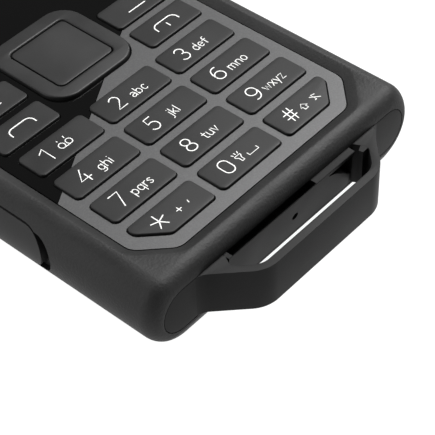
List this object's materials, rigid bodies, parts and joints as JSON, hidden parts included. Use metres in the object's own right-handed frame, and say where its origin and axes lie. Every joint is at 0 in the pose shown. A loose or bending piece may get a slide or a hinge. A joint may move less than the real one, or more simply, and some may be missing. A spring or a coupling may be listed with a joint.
{
  "type": "satellite phone",
  "caption": "Slim rugged handheld phone with rubber-edged body, number keypad, square direction ring, lanyard loop at the lower end and a pull-out antenna.",
  "frame": {"origin": "centre of the flat back, on the plane the phone lies on", "axes": "+Z out of the keypad face, +Y towards the earpiece end, +X to the right of a person reading the keys"},
  "size_m": [0.0628, 0.1494, 0.0145],
  "materials": {
    "rubber_overmould": "matte, fine speckle",
    "rubber_parts": "matte",
    "hard_plastic": "fine spark texture",
    "end_plastic": "satin",
    "plate_metal": "satin metallic grey",
    "window_gloss": "polished black",
    "display_panel": "dark, off",
    "key_caps": "matte with white legends",
    "nav_keys": "matte",
    "steel": "plain",
    "screw_steel": "dark plated",
    "silicone": "translucent grey",
    "dome_film": "film",
    "circuit_board": "solder mask",
    "ceramic_patch": "fired ceramic",
    "battery_pack": "wrapped can",
    "contact_brass": "plated",
    "sound_parts": "moulded",
    "lens_glass": "clear"
  },
  "bodies": {
    "phone": {"front_housing": "rubber_overmould", "antenna_seal": "rubber_parts", "rear_housing": "hard_plastic", "end_cap": "end_plastic", "keypad_plate": "plate_metal", "front_window": "window_gloss", "display_module": "display_panel", "shield_can": "steel", "charge_socket": "steel", "sim_holder": "steel", "vibration_motor": "steel", "earpiece_mesh": "steel", "housing_screws": "screw_steel", "keypad_membrane": "silicone", "dome_sheet": "dome_film", "main_board": "circuit_board", "patch_antenna": "ceramic_patch", "battery_contacts": "contact_brass", "antenna_sleeve": "contact_brass", "receiver": "sound_parts", "loudspeaker": "sound_parts", "microphone": "sound_parts", "camera_module": "sound_parts", "camera_lens": "lens_glass", "torch_lens": "lens_glass", "flash_lens": "lens_glass"},
    "port_cover": {"port_flap": "rubber_parts"},
    "door": {"battery_door": "hard_plastic", "door_seal": "rubber_parts"},
    "screw_left": {"coin_screw_left": "screw_steel"},
    "screw_right": {"coin_screw_right": "screw_steel"},
    "cell": {"battery": "battery_pack"},
    "antenna": {"antenna_mast": "hard_plastic", "antenna_tip": "hard_plastic"},
    "ring_gimbal": {"nav_pivot": "steel"},
    "ring": {"nav_ring": "nav_keys"},
    "centre": {"nav_centre": "nav_keys"},
    "volume_up": {"volume_up_key": "rubber_parts"},
    "volume_down": {"volume_down_key": "rubber_parts"},
    "talk": {"talk_side_key": "rubber_parts"},
    "key_1_body": {"key_1": "key_caps"},
    "key_2_body": {"key_2": "key_caps"},
    "key_3_body": {"key_3": "key_caps"},
    "key_4_body": {"key_4": "key_caps"},
    "key_5_body": {"key_5": "key_caps"},
    "key_6_body": {"key_6": "key_caps"},
    "key_7_body": {"key_7": "key_caps"},
    "key_8_body": {"key_8": "key_caps"},
    "key_9_body": {"key_9": "key_caps"},
    "key_star_body": {"key_star": "key_caps"},
    "key_0_body": {"key_0": "key_caps"},
    "key_hash_body": {"key_hash": "key_caps"},
    "call_key_body": {"call_key": "key_caps"},
    "end_key_body": {"end_key": "key_caps"},
    "soft_key_left_body": {"soft_key_left": "key_caps"},
    "soft_key_right_body": {"soft_key_right": "key_caps"}
  },
  "joints": [
    {"name": "key_1_press", "type": "slide", "parent": "phone", "child": "key_1_body", "axis": [0, 0, -1], "range_m": [0, 0.0004], "stiffness_N_per_m": 900},
    {"name": "key_2_press", "type": "slide", "parent": "phone", "child": "key_2_body", "axis": [0, 0, -1], "range_m": [0, 0.0004], "stiffness_N_per_m": 900},
    {"name": "key_3_press", "type": "slide", "parent": "phone", "child": "key_3_body", "axis": [0, 0, -1], "range_m": [0, 0.0004], "stiffness_N_per_m": 900},
    {"name": "key_4_press", "type": "slide", "parent": "phone", "child": "key_4_body", "axis": [0, 0, -1], "range_m": [0, 0.0004], "stiffness_N_per_m": 900},
    {"name": "key_5_press", "type": "slide", "parent": "phone", "child": "key_5_body", "axis": [0, 0, -1], "range_m": [0, 0.0004], "stiffness_N_per_m": 900},
    {"name": "key_6_press", "type": "slide", "parent": "phone", "child": "key_6_body", "axis": [0, 0, -1], "range_m": [0, 0.0004], "stiffness_N_per_m": 900},
    {"name": "key_7_press", "type": "slide", "parent": "phone", "child": "key_7_body", "axis": [0, 0, -1], "range_m": [0, 0.0004], "stiffness_N_per_m": 900},
    {"name": "key_8_press", "type": "slide", "parent": "phone", "child": "key_8_body", "axis": [0, 0, -1], "range_m": [0, 0.0004], "stiffness_N_per_m": 900},
    {"name": "key_9_press", "type": "slide", "parent": "phone", "child": "key_9_body", "axis": [0, 0, -1], "range_m": [0, 0.0004], "stiffness_N_per_m": 900},
    {"name": "key_star_press", "type": "slide", "parent": "phone", "child": "key_star_body", "axis": [0, 0, -1], "range_m": [0, 0.0004], "stiffness_N_per_m": 900},
    {"name": "key_0_press", "type": "slide", "parent": "phone", "child": "key_0_body", "axis": [0, 0, -1], "range_m": [0, 0.0004], "stiffness_N_per_m": 900},
    {"name": "key_hash_press", "type": "slide", "parent": "phone", "child": "key_hash_body", "axis": [0, 0, -1], "range_m": [0, 0.0004], "stiffness_N_per_m": 900},
    {"name": "call_key_press", "type": "slide", "parent": "phone", "child": "call_key_body", "axis": [0, 0, -1], "range_m": [0, 0.0004], "stiffness_N_per_m": 900},
    {"name": "end_key_press", "type": "slide", "parent": "phone", "child": "end_key_body", "axis": [0, 0, -1], "range_m": [0, 0.0004], "stiffness_N_per_m": 900},
    {"name": "soft_key_left_press", "type": "slide", "parent": "phone", "child": "soft_key_left_body", "axis": [0, 0, -1], "range_m": [0, 0.0004], "stiffness_N_per_m": 900},
    {"name": "soft_key_right_press", "type": "slide", "parent": "phone", "child": "soft_key_right_body", "axis": [0, 0, -1], "range_m": [0, 0.0004], "stiffness_N_per_m": 900},
    {"name": "centre_press", "type": "slide", "parent": "phone", "child": "centre", "axis": [0, 0, -1], "range_m": [0, 0.0004], "stiffness_N_per_m": 900},
    {"name": "ring_tilt_up_down", "type": "hinge", "parent": "phone", "child": "ring_gimbal", "pos_m": [0, -0.01875, 0.01157], "axis": [1, 0, 0], "range_deg": [-2, 2], "stiffness_Nm_per_rad": 0.5},
    {"name": "ring_tilt_left_right", "type": "hinge", "parent": "ring_gimbal", "child": "ring", "pos_m": [0, -0.01875, 0.01157], "axis": [0, 1, 0], "range_deg": [-2, 2], "stiffness_Nm_per_rad": 0.5},
    {"name": "volume_up_press", "type": "slide", "parent": "phone", "child": "volume_up", "axis": [1, 0, 0], "range_m": [0, 0.0004], "stiffness_N_per_m": 900},
    {"name": "volume_down_press", "type": "slide", "parent": "phone", "child": "volume_down", "axis": [1, 0, 0], "range_m": [0, 0.0004], "stiffness_N_per_m": 900},
    {"name": "talk_press", "type": "slide", "parent": "phone", "child": "talk", "axis": [-1, 0, 0], "range_m": [0, 0.0004], "stiffness_N_per_m": 900},
    {"name": "port_cover_hinge", "type": "hinge", "parent": "phone", "child": "port_cover", "pos_m": [-0.0303, -0.01575, 0.00804], "axis": [0, 0, -1], "range_deg": [0, 100]},
    {"name": "door_lift", "type": "slide", "parent": "phone", "child": "door", "axis": [0, 0, -1], "range_m": [0, 0.03]},
    {"name": "battery_lift", "type": "slide", "parent": "phone", "child": "cell", "axis": [0, 0, -1], "range_m": [0, 0.015]},
    {"name": "screw_left_turn", "type": "hinge", "parent": "door", "child": "screw_left", "pos_m": [-0.014, -0.0555, 0], "axis": [0, 0, -1], "range_deg": [0, 90]},
    {"name": "screw_right_turn", "type": "hinge", "parent": "door", "child": "screw_right", "pos_m": [0.014, -0.0555, 0], "axis": [0, 0, -1], "range_deg": [0, 90]},
    {"name": "antenna_pull", "type": "slide", "parent": "phone", "child": "antenna", "axis": [0, 1, 0], "range_m": [0, 0.06]}
  ],
  "couplings": [
    {"joint": "battery_lift", "follows": "door_lift", "ratio": 0.5}
  ]
}
